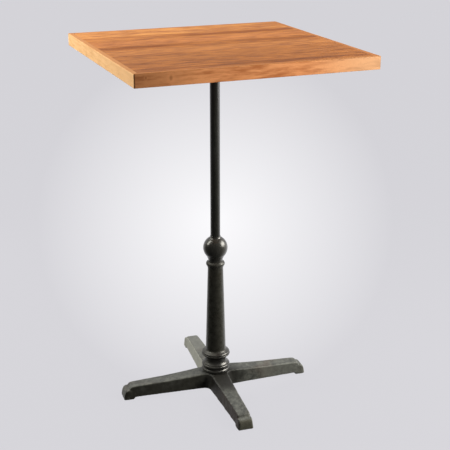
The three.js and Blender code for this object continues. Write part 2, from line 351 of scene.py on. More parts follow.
def wood(name, pale, deep, shift, streaks=(), along="x", stain_and_light=None, knots=()):
    """Oiled hardwood with its grain along one axis.

    Streaks of darker heartwood, and one of painted shade, are (low side, high side, strength, start, end).
    Knots are (along, height, size). A stain_and_light function changes the colour from place to place, for
    real marks and for painted light.
    """
    look = Finish(name)
    flip = along == "y"
    x, y, z = (look.axis(look.place, i) for i in (1 if flip else 0, 0 if flip else 1, 2))
    node = look.tree.nodes.new("ShaderNodeCombineXYZ")
    for socket, value in zip(node.inputs, (x, y, z)):
        look.feed(socket, value)
    board = node.outputs[0]

    def layer(long, cross, detail=2.0, roughness=0.55):
        """A centred noise, long along the grain."""
        tone = look.noise(look.stretched((long, cross, cross), shift, board), 1.0, detail, roughness)
        return look.minus(tone, 0.5)

    # growth figure: broad wavy bands that close into long arches
    drift = layer(1.6, 9.0)
    swirl = layer(6.0, 32.0, 3.0)
    bend = look.plus(look.times(drift, 9.0), look.times(swirl, 1.8))
    across = look.times(look.plus(y, z), 62.0)
    rings = look.math("FRACT", look.plus(across, bend))
    late = look.times(look.ramp(rings, 0.25, 0.92), look.ramp(rings, 1.0, 0.94))
    # broad tone, bands, lines, fibres and open pores, each finer than the last
    tone = look.plus(0.28, look.times(late, 0.3))
    line = layer(15.0, 190.0, 3.0)
    fibre = layer(26.0, 900.0, 3.0)
    flecks = (
        (layer(3.5, 12.0, 3.0), 1.0), (layer(7.5, 34.0, 3.0), 1.2), (layer(18.0, 84.0, 3.0), 2.4),
        (line, 2.0), (fibre, 0.8),
    )
    for part, weight in flecks:
        tone = look.plus(tone, look.times(part, weight))
    tone = look.math("MINIMUM", look.math("MAXIMUM", tone, 0.0), 1.0)
    colour = look.mix(tone, pale, deep)
    pore = look.ramp(layer(60.0, 1500.0, 1.0), 0.14, 0.24)
    dark = tuple(c * 0.42 for c in deep)
    for low, high, strength, start, end in streaks:
        wavy = look.plus(y, look.times(swirl, 0.06))
        soft = 0.42 * (high - low)
        inside = look.times(look.ramp(wavy, low, low + soft), look.ramp(wavy, high, high - soft))
        reach = look.times(look.ramp(x, start - 0.09, start + 0.07), look.ramp(x, end + 0.09, end - 0.07))
        veil = look.times(look.times(inside, reach), strength)
        veil = look.times(veil, look.ramp(line, -0.25, 0.1, 0.7, 1.0))
        colour = look.mix(veil, colour, tuple(c * f for c, f in zip(deep, (0.78, 0.62, 0.5))))
    colour = look.mix(look.times(pore, 0.4), colour, dark)
    for kx, kz, size in knots:
        dx = look.times(look.minus(x, kx), 1.0 / size)
        dz = look.times(look.minus(z, kz), 0.7 / size)
        r = look.math("SQRT", look.plus(look.times(dx, dx), look.times(dz, dz)))
        r = look.plus(r, look.times(swirl, 1.1))
        ring = look.times(look.ramp(r, 2.6, 1.3), 0.24)
        colour = look.mix(ring, colour, tuple(min(1.0, c * 1.25) for c in pale))
        colour = look.mix(look.times(look.ramp(r, 1.2, 0.4), 0.5), colour, dark)
    if stain_and_light:
        colour = stain_and_light(look, colour, x, z)
    height = look.minus(look.times(fibre, 0.5), look.times(pore, 0.8))
    height = look.plus(height, look.times(late, 0.25))
    look.set(
        Base_Color=colour,
        Roughness=look.ramp(tone, 0.0, 1.0, 0.62, 0.5),
        Normal=look.bump(height, 0.0004, 0.5),
    )
    look.shader.inputs["Specular IOR Level"].default_value = 0.04
    return look.material


def iron(name, dark, pale, rust, rough, metallic, grain, wear_and_highlight, patina_and_light=None):
    """Bare or painted cast iron: a mottled skin with faint rust, paler edges that are partly rubbed and
    partly a painted highlight, and darker hollows that are painted shade.
    """
    look = Finish(name)
    mottle = look.noise(look.place, 75.0, 6.0, 0.72)
    patch = look.noise(look.place, 9.0, 3.0, 0.5, 0.4)
    pits = look.noise(look.place, 420.0, 2.0, 0.6)
    colour = look.mix(look.ramp(mottle, 0.36, 0.64), dark, pale)
    colour = look.mix(look.times(look.ramp(patch, 0.56, 0.74), 0.3), colour, rust)
    speck = look.times(look.ramp(pits, 0.6, 0.7), 0.35)
    colour = look.mix(speck, colour, tuple(c * 0.45 for c in dark))
    look.set(Metallic=metallic)
    dull = 0.0
    if patina_and_light:
        colour, dull = patina_and_light(look, colour)
    # paler edges: partly rubbed iron, partly a painted highlight along the ridges
    worn_and_lit_edges = look.times(look.edges(0.505, 0.535), look.ramp(mottle, 0.4, 0.6, 0.15, 1.0))
    colour = look.mix(look.times(worn_and_lit_edges, wear_and_highlight), colour, tuple(min(1, c * 2.2 + 0.05) for c in pale))
    # darker in the hollows: painted shade
    hollow = look.minus(1.0, look.edges(0.42, 0.49))
    colour = look.mix(look.times(hollow, 0.6), colour, tuple(c * 0.35 for c in dark))
    height = look.plus(look.times(pits, 0.5), mottle)
    skin = look.plus(mottle, look.times(pits, 0.3))
    look.set(
        Base_Color=colour,
        Roughness=look.plus(look.ramp(skin, 0.35, 0.9, rough - 0.1, rough + 0.14), dull),
        Normal=look.bump(height, grain, 0.7),
    )
    return look.material


# the centre of the painted shadow of the column on the base, with some grime
HUB_SHADOW_AND_GRIME = (0.015, -0.07, 0.05)


def base_painted_light(look, colour):
    """Painted light and shade on the base by the way each face looks: paler on the right leg's front and the
    front toe's face as painted light, paler on the back leg's top and left side as painted sheen, darker on
    the left leg's front and the front leg's left side as painted shade, and darkest by the hub on the front
    leg as a painted shadow of the column, with some grime.
    """
    normal = look.tree.nodes.new("ShaderNodeNewGeometry").outputs["Normal"]
    x, y = (look.axis(look.place, i) for i in range(2))
    to_left = look.ramp(look.axis(normal, 0), -0.45, -0.85)
    to_front = look.ramp(look.axis(normal, 1), -0.45, -0.85)
    to_top = look.ramp(look.axis(normal, 2), 0.45, 0.85)
    ragged = look.noise(look.place, 26.0, 4.0, 0.6)

    # one row for each painted light or shade: facing, axis, where the mark starts and is full along it,
    # strength and tint
    painted_light_rows = (
        (to_front, x, 0.11, 0.17, 0.5, (0.165, 0.168, 0.142)),
        (to_top, y, 0.13, 0.18, 0.5, (0.17, 0.172, 0.148)),
        (to_front, x, -0.02, -0.07, 0.85, (0.022, 0.0205, 0.0145)),
        (to_left, y, -0.02, -0.07, 0.92, (0.026, 0.015, 0.007)),
        (to_left, y, 0.03, 0.08, 0.9, (0.36, 0.36, 0.295)),
        (to_front, y, -0.28, -0.298, 0.8, (0.098, 0.092, 0.064)),
    )
    for facing, along, start, end, strength, tint in painted_light_rows:
        mask = look.times(facing, look.ramp(along, start, end))
        mask = look.times(mask, look.ramp(ragged, 0.25, 0.55, 0.7 * strength, strength))
        colour = look.mix(mask, colour, tint)
    # a painted shadow of the column by the hub, with some grime
    hub_shadow = look.ramp(look.vector("DISTANCE", look.place, HUB_SHADOW_AND_GRIME)["Value"], 0.115, 0.04)
    return look.mix(look.times(hub_shadow, 0.95), colour, (0.012, 0.011, 0.008)), 0.0


def column_patina_and_shade(look, colour):
    """The turned rings at the foot and the head, rubbed nearly to bare metal; duller and darker on the left
    side, which is painted shade.
    """
    foot = look.ramp(look.axis(look.place, 2), 0.132, 0.122)
    head = look.ramp(look.axis(look.place, 2), 0.406, 0.412)
    # the left side of the rings is kept duller and darker: painted shade
    left = look.ramp(look.axis(look.place, 0), 0.004, -0.026)
    rubbed = look.math("MAXIMUM", foot, look.times(head, 0.2))
    rubbed = look.times(rubbed, look.minus(1.0, look.times(left, 0.6)))
    look.set(Metallic=look.ramp(rubbed, 0.0, 1.0, 0.45, 0.92))
    dull = look.times(look.times(left, look.math("MAXIMUM", foot, head)), 0.2)
    return look.mix(look.times(rubbed, 0.85), colour, (0.105, 0.102, 0.094)), dull


def gloss_paint(name, colour, rough, dust, metallic):
    """Black paint on iron, with slight orange peel, fine scuffs and a little dust."""
    look = Finish(name)
    peel = look.noise(look.place, 150.0, 1.0, 0.4)
    scuff = look.noise(look.stretched((90.0, 90.0, 12.0)), 1.0, 4.0, 0.65)
    dusty = tuple(c * 3 + 0.02 for c in colour)
    look.set(
        Base_Color=look.mix(look.times(look.ramp(scuff, 0.5, 0.8), dust), colour, dusty),
        Roughness=look.ramp(scuff, 0.3, 0.8, rough, rough + 0.16),
        Normal=look.bump(peel, 0.000012, 0.2),
    )
    look.shader.inputs["Metallic"].default_value = metallic
    look.shader.inputs["Coat Weight"].default_value = 0.3
    look.shader.inputs["Coat Roughness"].default_value = rough
    return look.material


def plated(name):
    """Dull zinc plating with fine turning marks."""
    look = Finish(name)
    cloud = look.noise(look.place, 120.0, 4.0, 0.6)
    marks = look.noise(look.stretched((300.0, 300.0, 2600.0)), 1.0, 2.0, 0.5)
    look.set(
        Base_Color=look.mix(look.ramp(cloud, 0.35, 0.7), (0.42, 0.41, 0.38), (0.62, 0.61, 0.57)),
        Roughness=look.ramp(cloud, 0.3, 0.8, 0.32, 0.55),
        Normal=look.bump(marks, 0.00006, 0.6),
    )
    look.shader.inputs["Metallic"].default_value = 0.95
    return look.material


def nylon(name):
    """Moulded black nylon, faintly mottled and scuffed."""
    look = Finish(name)
    scuff = look.noise(look.place, 300.0, 4.0, 0.6)
    look.set(
        Base_Color=look.mix(look.ramp(scuff, 0.4, 0.8), (0.018, 0.018, 0.018), (0.06, 0.06, 0.058)),
        Roughness=look.ramp(scuff, 0.3, 0.8, 0.42, 0.62),
        Normal=look.bump(scuff, 0.0001, 0.5),
    )
    return look.material


def lit_floor(name):
    """A pale studio floor that shines evenly by its own emission, with a painted glow behind the table, under
    faint shadows.
    """
    look = Finish(name)
    away = look.vector("SUBTRACT", look.place, GLOW_FROM)[0]
    side, rise, ahead = (look.vector("DOT_PRODUCT", away, axis)["Value"] for axis in GLOW_AXES)
    side = look.math("DIVIDE", side, ahead)
    rise = look.math("DIVIDE", rise, ahead)
    spread = look.plus(look.times(side, side), look.times(rise, rise))
    glow = look.minus(1.0, look.math("DIVIDE", look.math("SQRT", spread), GLOW_SPREAD), clamp=True)
    glow = look.times(glow, look.math("GREATER_THAN", ahead, 0.0))
    cloth = look.noise(look.place, 60.0, 2.0, 0.5)
    look.set(
        Base_Color=look.mix(cloth, FLOOR_COLOUR, tuple(c * 1.2 for c in FLOOR_COLOUR)),
        Roughness=1.0,
        Emission_Color=look.mix(glow, EDGE_LIGHT, GLOW_LIGHT),
        Emission_Strength=1.0,
    )
    look.shader.inputs["Specular IOR Level"].default_value = 0.0
    look.material.cycles.emission_sampling = "NONE"
    return look.material


def finish(piece, material, slot, *nodes):
    """Gives a piece its material and hides the CAD nodes that it stands for; the slot is not used."""
    piece.data.materials.clear()
    piece.data.materials.append(material)
    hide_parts(*nodes)


# -------------------------------- camera, lights and floor

CAMERA_AT = Vector((-1.052, -2.750, 1.593))
CAMERA_PITCH = math.radians(19.54)
CAMERA_YAW = math.radians(-21.517)
CAMERA_LENS = 80.98
CAMERA_SENSOR = 36
CAMERA_REACH = 60


def add_camera():
    data = bpy.data.cameras.new("camera")
    data.lens = CAMERA_LENS
    data.sensor_width = CAMERA_SENSOR
    data.clip_end = CAMERA_REACH
    camera = bpy.data.objects.new("camera", data)
    camera.location = CAMERA_AT
    camera.rotation_euler = (math.pi / 2 - CAMERA_PITCH, 0, CAMERA_YAW)
    bpy.context.scene.collection.objects.link(camera)
    bpy.context.scene.camera = camera


def add_softbox(name, at, aim, size, power, colour, mirrored):
    data = bpy.data.lights.new(name, "AREA")
    data.shape = "RECTANGLE"
    data.size, data.size_y = size
    data.energy = power
    data.color = colour
    lamp = bpy.data.objects.new(name, data)
    lamp.location = at
    lamp.visible_glossy = mirrored
    lamp.rotation_euler = (Vector(aim) - Vector(at)).to_track_quat("-Z", "Y").to_euler()
    bpy.context.scene.collection.objects.link(lamp)


FLOOR_COLOUR = (0.012, 0.012, 0.012)
EDGE_LIGHT = (0.655, 0.648, 0.684)
GLOW_LIGHT = (0.96, 0.955, 0.975)
# The floor's painted glow, in its own emission, lies where a fixed cone meets it: the cone's tip, its
# direction and its half width
GLOW_FROM = CAMERA_AT
GLOW_YAW = CAMERA_YAW + math.radians(0.57)
GLOW_TILT = math.radians(70.63)
GLOW_TURN = Matrix.Rotation(GLOW_YAW, 3, "Z") @ Matrix.Rotation(GLOW_TILT, 3, "X")
GLOW_AXES = (GLOW_TURN.col[0], GLOW_TURN.col[1], -GLOW_TURN.col[2])
GLOW_SPREAD = 0.176
# What the object reflects: a panel's direction, the cosines where it starts and is full, its strength there
BACKDROP = ((0.366, 0.930, 0.0), 0.0, 0.75, 0.055, 0.85)
WALL = ((0.93, 0.05, -0.36), 0.72, 0.97, 0.0, 0.55)
SHOWN_STRENGTH = 0.665                  # what the camera sees past the floor's edge
# Rows of name, place, aim, size, watts, colour and whether it is mirrored in the object
SOFTBOXES = (
    ("softbox_left", (-1.65, 0.72, 2.05), (0, 0, 0.9), (0.5, 1.7), 36, (1.0, 0.99, 0.95), True),
    ("softbox_low", (-1.0, 1.5, 0.22), (0, 0.1, 0.05), (0.8, 0.3), 8, (1.0, 0.99, 0.95), False),
    ("softbox_right", (1.45, -0.5, 1.25), (0, 0, 0.6), (1.1, 0.9), 46, (1.0, 0.98, 0.96), True),
    ("softbox_front", (1.3, -1.4, 0.98), (0, 0, 0.6), (0.7, 0.8), 32, (1.0, 0.98, 0.95), False),
    ("softbox_top", (-0.4, 1.2, 3.2), (0, 0.1, 1.0), (1.6, 1.6), 43, (1, 1, 1), True),
)
FLOOR_SIZE = 40


def add_world():
    """A bright backdrop behind the table, a white wall on its right and a dim room in front of it."""
    world = bpy.data.worlds.new("studio")
    world.use_nodes = True
    tree = world.node_tree
    background = tree.nodes["Background"]
    direction = tree.nodes.new("ShaderNodeTexCoord").outputs["Generated"]

    def panel(side, start, end, low, high):
        facing = tree.nodes.new("ShaderNodeVectorMath")
        facing.operation = "DOT_PRODUCT"
        facing.inputs[1].default_value = side
        tree.links.new(direction, facing.inputs[0])
        fade = tree.nodes.new("ShaderNodeMapRange")
        fade.interpolation_type = "SMOOTHSTEP"
        for socket, value in zip(list(fade.inputs)[1:5], (start, end, low, high)):
            socket.default_value = value
        tree.links.new(facing.outputs["Value"], fade.inputs[0])
        return fade.outputs[0]

    both = tree.nodes.new("ShaderNodeMath")
    tree.links.new(panel(*BACKDROP), both.inputs[0])
    tree.links.new(panel(*WALL), both.inputs[1])
    path = tree.nodes.new("ShaderNodeLightPath").outputs["Is Camera Ray"]
    shown = tree.nodes.new("ShaderNodeMix")
    tree.links.new(path, shown.inputs["Factor"])
    tree.links.new(both.outputs[0], shown.inputs["A"])
    shown.inputs["B"].default_value = SHOWN_STRENGTH
    tree.links.new(shown.outputs[0], background.inputs["Strength"])
    background.inputs["Color"].default_value = (1.0, 0.995, 1.03, 1)
    bpy.context.scene.world = world


def add_studio():
    add_world()
    bpy.context.scene.view_settings.view_transform = "Standard"
    for row in SOFTBOXES:
        add_softbox(*row)
    bm = bmesh.new()
    bmesh.ops.create_grid(bm, x_segments=8, y_segments=8, size=FLOOR_SIZE)
    floor = scratch_object("floor", bm)
    floor.data.materials.append(lit_floor("pale_floor"))
    floor.visible_diffuse = False
    floor.visible_glossy = False


add_camera()
add_studio()


# -------------------------------- the base casting

# Rows of distance from the axis, underside, top, half width below and half width above, in mm
LEG_ROWS = (
    (0, 7.5, 54, 34.4, 27.5),
    (50, 7.5, 54, 34, 27.5),
    (90, 7.5, 50.8, 31.6, 26),
    (165, 7.5, 46.8, 28.2, 23.3),
    (225, 7.5, 45.2, 25.8, 21.6),
    (260, 7.5, 44, 24.5, 20.6),
    (272, 7.5, 43.4, 24.2, 20.3),
    (280, 7.5, 42.4, 24, 19.9),
    (284, 7.5, 40, 23.8, 19.4),
    (287, 7.5, 36.6, 23.7, 19),
    (289, 7.5, 34, 23.7, 18.9),
)
TOE_ROWS = (
    (270, 7.5, 27, 23, 19),
    (275.5, 1.2, 29, 24.4, 21),
    (284, 1.2, 32, 24.8, 21.8),
    (290, 1.2, 33.4, 24.8, 22),
    (295.5, 1.2, 32.2, 24.8, 22),
    (300, 1.2, 28.8, 24.4, 21.6),
    (303.6, 1.2, 22, 23.6, 21),
    (305.7, 1.2, 13, 22.8, 20.4),
    (306.6, 1.2, 6, 22, 19.8),
)
TOE_TRIM = (-5, -1, 2.5, 0)             # how much longer the right, back, left and front toes are
RIDGE = 5.0
LEG_WALL = 7.0
HOLLOW_END = 260.0
HUB_FILLET = 20.0


def trimmed(rows, trim):
    """The rows with the toe's end moved along by trim."""
    return [(row[0] + trim, *row[1:]) if row[0] > HOLLOW_END else row for row in rows]


def eased(rows, steps):
    """The rows again with steps between neighbours, on smooth curves through them."""
    fine = []
    last = len(rows) - 1
    for i in range(last):
        a, b, c, d = (Vector(rows[min(max(i + k, 0), last)]) for k in (-1, 0, 1, 2))
        span = c[0] - b[0]
        slope_b = (c - a) * (span / max(c[0] - a[0], 1e-6))
        slope_c = (d - b) * (span / max(d[0] - b[0], 1e-6))
        for k in range(steps):
            t = k / steps
            row = (
                b * (2 * t**3 - 3 * t**2 + 1) + slope_b * (t**3 - 2 * t**2 + t)
                + c * (3 * t**2 - 2 * t**3) + slope_c * (t**3 - t**2)
            )
            row[0] = b[0] + span * t
            fine.append(tuple(row))
    fine.append(tuple(rows[last]))
    return fine


def leg_ring(row, ridge, angle):
    """One section of a leg: drafted sides, a flat top and rounded ridges."""
    reach, bottom, top, half_below, half_above = row
    ridge = min(ridge, 0.45 * (top - bottom))
    points = [(half_below, bottom)]
    steps = 6
    for i in range(steps + 1):
        a = math.pi / 2 * i / steps
        points.append((half_above - ridge + ridge * math.cos(a), top - ridge + ridge * math.sin(a)))
    whole = points + [(-y, z) for y, z in reversed(points)]
    spin = Matrix.Rotation(angle, 3, "Z")
    return [spin @ Vector((reach, y, z)) * MM for y, z in whole]


def leg_bar(rows, angle, ridge=RIDGE, steps=4):
    return sweep([leg_ring(row, ridge, angle) for row in eased(rows, steps)])


def leg_hollow(angle):
    """A cutter for the hollow under a leg, open below."""
    rows = [row for row in LEG_ROWS if row[0] <= HOLLOW_END]
    inner = [
        (reach, -3, top - LEG_WALL - 2, below - LEG_WALL, above - LEG_WALL)
        for reach, _, top, below, above in rows
    ]
    return leg_bar(inner, angle, 3.0, 1)


def hub(angle):
    """The hub's filleted cross, drafted like the legs, with eased upper edges."""
    _, bottom, top, below, above = LEG_ROWS[1]
    rings = []
    rows = [(bottom, below, 0.0)]
    for i in range(7):
        a = math.pi / 2 * i / 6
        rows.append((top - RIDGE + RIDGE * math.sin(a), above, RIDGE * (1 - math.cos(a))))
    for height, half, inset in rows:
        ring = []
        reach = half + HUB_FILLET
        radius = HUB_FILLET + inset
        for quarter in range(4):
            spin = Matrix.Rotation(angle + quarter * math.pi / 2, 3, "Z")
            for i in range(13):
                a = math.radians(270 - 90 * i / 12)
                x = reach + radius * math.cos(a)
                y = reach + radius * math.sin(a)
                ring.append(spin @ Vector((x, y, height)) * MM)
        rings.append(ring)
    return sweep(rings)


def glide_hole(side):
    """A cutter for the recess round a glide's pad and the tapped hole above it."""
    low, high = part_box(f"glide_pad_{side}")
    stem_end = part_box(f"glide_stem_{side}")[1].z
    middle = (low + high) / 2
    gap = 0.35 * MM
    pad, stem = (high.x - low.x) / 2 + 0.6 * MM, 4 * MM + gap
    start, seat, end = -5 * MM, high.z + gap, stem_end + 1 * MM
    rows = ((0, start), (pad, start), (pad, seat), (stem, seat), (stem, end), (0, end))
    return lathe(rows, 64, Vector((middle.x, middle.y, 0)))


def build_base():
    solids = [hub(TURN)]
    hollows = []
    for leg, trim in enumerate(TOE_TRIM):
        angle = TURN + leg * math.pi / 2
        solids.append(leg_bar(trimmed(LEG_ROWS, trim), angle))
        solids.append(leg_bar(trimmed(TOE_ROWS, trim), angle, 4.0))
        hollows.append(leg_hollow(angle))
    piece = cast("base_cast", solids, hollows, 1.3 * MM, 3, 0.00035)
    return carved(piece, [glide_hole(side) for side in SIDES])


base_iron = iron(
    "base_iron", (0.048, 0.049, 0.042), (0.125, 0.128, 0.108), (0.10, 0.062, 0.038), 0.54, 0.35, 0.0007,
    0.4, base_painted_light,
)
finish(build_base(), base_iron, "base_iron", "base_casting")


# -------------------------------- the turned column, ball and tube

# Rows of radius, height and the bulge of the way to the next row, in mm
COLUMN_ROWS = (
    (42, 54.3, 0.5), (42, 64.8, 0), (40.8, 65.6, 0), (40.4, 70.4, 0), (42.4, 71.4, 0.55), (42.4, 79.2, 0),
    (40.4, 79.9, 0), (40.4, 80.9, 0), (40.6, 82, -0.2), (33.6, 92.4, -0.03), (33.8, 97.6, -0.1),
    (36.8, 104.8, 0), (41, 107.8, 0.05), (44, 110.4, 0.4), (44.6, 114.4, 0), (43, 115.2, 0), (43, 116.2, 0),
    (44, 117.2, 0.3), (40.8, 121.6, -0.08), (33.6, 126.2, -0.2), (31.9, 130.4, 0),
    (24, 408.6, -0.25), (25, 410.6, 0), (25, 413, 0), (24.6, 414.4, 0), (26, 415, 0.5), (26, 428.7, 0),
    (24.6, 429.4, 0), (24.6, 430, 0), (14, 430, 0), (14, 408, 0), (22, 134, 0), (24, 100, 0), (24, 54.3, 0),
    (42, 54.3, 0),
)
BALL_FOOT_ROWS = (
    (7, 416, 0), (13.7, 416, 0), (13.7, 430.3, 0), (23, 430.3, 0.1), (22.4, 433.5, -0.14), (25.4, 443, -0.05),
    (27.6, 449.3, 0),
)
BALL_TOP_ROWS = (
    (20.2, 506, -0.2), (17.2, 509, -0.2), (16.2, 513.4, 0.3), (15.3, 514, 0), (15.3, 478, 0), (7, 478, 0),
)
BALL_CENTRE = 474.5
BALL_SPAN = (-0.74, 1.0)                # the angles above the centre where the ball's arc starts and ends
TUBE_WALL = 2.6
TUBE_EASE = 0.4


def build_column():
    bm = lathe(outline(COLUMN_ROWS)[:-1], 128)
    return soften(new_piece("column_cast", bm), 0.45 * MM, 28)


def build_ball():
    low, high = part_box("ball")
    radius = (high.x - low.x) / 2
    points = outline(BALL_FOOT_ROWS)[:-1]
    start, end = BALL_SPAN
    for i in range(41):
        angle = start + (end - start) * i / 40
        points.append((radius * math.cos(angle), BALL_CENTRE * MM + radius * math.sin(angle)))
    points += outline(BALL_TOP_ROWS)[1:]
    return new_piece("ball_knop", lathe(points, 96), smooth_angle=40)


def build_tube():
    low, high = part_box("upper_tube")
    outer = (high.x - low.x) / 2
    inner = outer - TUBE_WALL * MM
    ease = TUBE_EASE * MM
    rows = [(inner, low.z), (outer - ease, low.z), (outer, low.z + ease)]
    rows += [(outer, low.z + (high.z - low.z) * i / 12) for i in range(1, 12)]
    rows += [(outer, high.z - ease), (outer - ease, high.z), (inner, high.z)]
    return new_piece("tube_pipe", lathe(rows, 64), smooth_angle=40)


column_iron = iron(
    "column_iron", (0.034, 0.033, 0.025), (0.054, 0.052, 0.041), (0.06, 0.040, 0.024), 0.3, 0.45, 0.00005,
    0.15, column_patina_and_shade,
)
ball_paint = gloss_paint("black_gloss", (0.055, 0.053, 0.045), 0.25, 0.25, 0.6)
tube_paint = gloss_paint("black_satin", (0.014, 0.014, 0.011), 0.3, 0.3, 0.0)
finish(build_column(), column_iron, "column_iron", "column_casting")
finish(build_ball(), ball_paint, "black_ball", "ball")
finish(build_tube(), tube_paint, "black_tube", "upper_tube")


# -------------------------------- the top: boards, lippings, battens

def strip(name, low, high, radii, mitre=0.0, along="x", outer=1, stations=24, wobble=0.0):
    """A plank along X or Y with rounded corners. A mitre shortens its inner side, away from outer."""
    swap = along == "y"
    a, b = (1, 0) if swap else (0, 1)
    y0, y1, z0, z1 = low[b], high[b], low.z, high.z
    steps = 4
    section = []
    corners = ((y1, z1), (y0, z1), (y0, z0), (y1, z0))
    for quarter, ((cy, cz), radius) in enumerate(zip(corners, radii)):
        my = cy - radius if cy == y1 else cy + radius
        mz = cz - radius if cz == z1 else cz + radius
        for i in range(steps + 1):
            angle = (quarter + i / steps) * math.pi / 2
            section.append((my + radius * math.cos(angle), mz + radius * math.sin(angle)))
    rings = []
    for k in range(stations + 1):
        t = k / stations
        ring = []
        for y, z in section:
            inset = mitre * ((y1 - y) if outer > 0 else (y - y0))
            start, end = low[a] + inset, high[a] - inset
            x = start + (end - start) * t
            jitter = wobble * noise.noise(Vector((x * 38, y * 60, z * 60)))
            side, up = y + jitter, z + jitter * 0.5
            ring.append(Vector((side, x, up) if swap else (x, side, up)))
        rings.append(ring)
    piece = new_piece(name, sweep(rings), smooth_angle=35)
    weight = piece.modifiers.new("flats", "WEIGHTED_NORMAL")
    weight.keep_sharp = True
    return apply_modifiers(piece)


# Board tones from the front to the back: the pale colour, the deep colour and the streaks. The boards grow
# paler towards the back partly as painted light, where the top catches more light and sheen.
BOARD_LOOKS = (
    ((0.435, 0.159, 0.041), (0.19, 0.057, 0.0115), ((-0.328, -0.296, 0.5, -0.30, 0.34),)),
    ((0.43, 0.161, 0.043), (0.20, 0.062, 0.0135), ()),
    ((0.51, 0.201, 0.056), (0.247, 0.078, 0.0175), ((-0.11, -0.085, 0.4, -0.3, -0.1),)),
    ((0.45, 0.164, 0.039), (0.215, 0.0645, 0.0125),
     ((-0.005, 0.052, 0.75, -0.33, -0.09), (0.0, 0.05, 0.6, 0.10, 0.36))),
    ((0.535, 0.205, 0.059), (0.272, 0.083, 0.0185), ()),
    ((0.50, 0.192, 0.049), (0.25, 0.076, 0.0155), ((0.15, 0.212, 0.75, -0.06, 0.38),)),
    # the seventh board's streak darkens its right end: painted shade, not heartwood
    ((0.65, 0.284, 0.082), (0.335, 0.111, 0.0255), ((0.23, 0.33, 0.4, 0.08, 0.4),)),
)


def screw_holes(names, low, high):
    """Cutters round the screws that pass through a box: the shank's hole, and a sunk head's cone."""
    cutters = []
    for node in names:
        foot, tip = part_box(node)
        x, y = (foot.x + tip.x) / 2, (foot.y + tip.y) / 2
        if not (low.x < x < high.x and low.y < y < high.y and tip.z > low.z and foot.z < high.z):
            continue
        start, end = low.z - 1 * MM, tip.z + 0.5 * MM
        hole, mouth = 2.5 * MM, 4.8 * MM
        rows = [(0, start), (hole, start), (hole, end), (0, end)]
        if foot.z > low.z:
            rows[1:2] = [(mouth, start), (mouth, foot.z + 0.3 * MM), (hole, foot.z + 2.7 * MM)]
        cutters.append(lathe(rows, 24, Vector((x, y, 0))))
    return cutters


PAN_SCREWS = {f"spider_screw_{index}": f"pan_screw_{index}" for index in range(1, 9)}
SUNK_SCREWS = {
    f"batten_screw_{side}_{index}": f"sunk_screw_{side}_{index}"
    for side in ("left", "right") for index in range(1, 8)
}
BOARD_EASE = 0.5 * MM
EDGE_EASE = 1.9 * MM
BATTEN_EASE = 1.2 * MM
EDGE_STATIONS = 70
EDGE_WOBBLE = 0.0003
TOP_FACE_BAND = (1.1050, 1.1058)             # the heights between which the lippings take on the boards' colour on their upper face


def build_boards():
    for index, (pale, deep, streaks) in enumerate(BOARD_LOOKS, start=1):
        node = f"board_{index}"
        low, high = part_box(node)
        piece = strip(f"plank_{index}", low, high, (BOARD_EASE,) * 4)
        carved(piece, screw_holes((*PAN_SCREWS, *SUNK_SCREWS), low, high))
        shift = (3.7 * index, 1.9 * index, 0.63 * index)
        finish(piece, wood(f"board_wood_{index}", pale, deep, shift, streaks), "top_boards", node)


def top_tone(look, colour, z):
    """The upper face, in the colour of the boards."""
    return look.mix(look.ramp(z, *TOP_FACE_BAND, 0.0, 0.85), colour, (0.40, 0.15, 0.040))


def front_stain_and_light(look, colour, x, z):
    """A darker left end with a dark line at the corner, and a paler right end that is painted light from the
    right.
    """
    ragged = look.plus(x, look.times(look.noise(look.place, 40.0, 3.0, 0.6), 0.03))
    # the paler right end is painted light from the right
    colour = look.mix(look.ramp(ragged, 0.1, 0.36, 0.0, 0.5), colour, (0.45, 0.32, 0.18))
    colour = look.mix(look.ramp(ragged, -0.12, -0.345, 0.0, 0.52), colour, (0.19, 0.078, 0.030))
    colour = look.mix(look.ramp(x, -0.3445, -0.3485, 0.0, 0.85), colour, (0.06, 0.028, 0.013))
    return top_tone(look, colour, z)


def side_stain(look, colour, _, z):
    return top_tone(look, colour, z)


def left_painted_light(look, colour, x, z):
    """A paler front half, which is painted light."""
    colour = look.mix(look.ramp(x, 0.08, -0.33, 0.0, 0.6), colour, (1.0, 0.60, 0.28))
    return top_tone(look, colour, z)


LIPPING_LOOKS = {
    "front": ((0.705, 0.296, 0.117), (0.42, 0.145, 0.050), front_stain_and_light),
    "back": ((0.56, 0.235, 0.080), (0.35, 0.12, 0.035), side_stain),
    # the left lipping is paler than the others partly as painted light from the left and partly as paler wood
    "left": ((0.96, 0.58, 0.27), (0.80, 0.435, 0.17), left_painted_light),
    "right": ((0.56, 0.235, 0.080), (0.37, 0.13, 0.038), side_stain),
}
FRONT_KNOTS = ((-0.252, 1.090, 0.006), (-0.318, 1.094, 0.003))


def build_lippings():
    for index, (side, (pale, deep, stain_and_light)) in enumerate(LIPPING_LOOKS.items()):
        node = f"lipping_{side}"
        low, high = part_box(node)
        along = "x" if side in ("front", "back") else "y"
        outer = 1 if side in ("back", "right") else -1
        hard, soft = EDGE_EASE, BOARD_EASE
        radii = (hard, soft, soft, hard) if outer > 0 else (soft, hard, hard, soft)
        piece = strip(f"edge_{side}", low, high, radii, 1.0, along, outer, EDGE_STATIONS, EDGE_WOBBLE)
        knots = FRONT_KNOTS if side == "front" else ()
        shift = (11.3 + 2.1 * index, 4.7 * index, 8.1)
        material = wood(f"edge_wood_{side}", pale, deep, shift, (), along, stain_and_light, knots)
        finish(piece, material, "lipping", node)


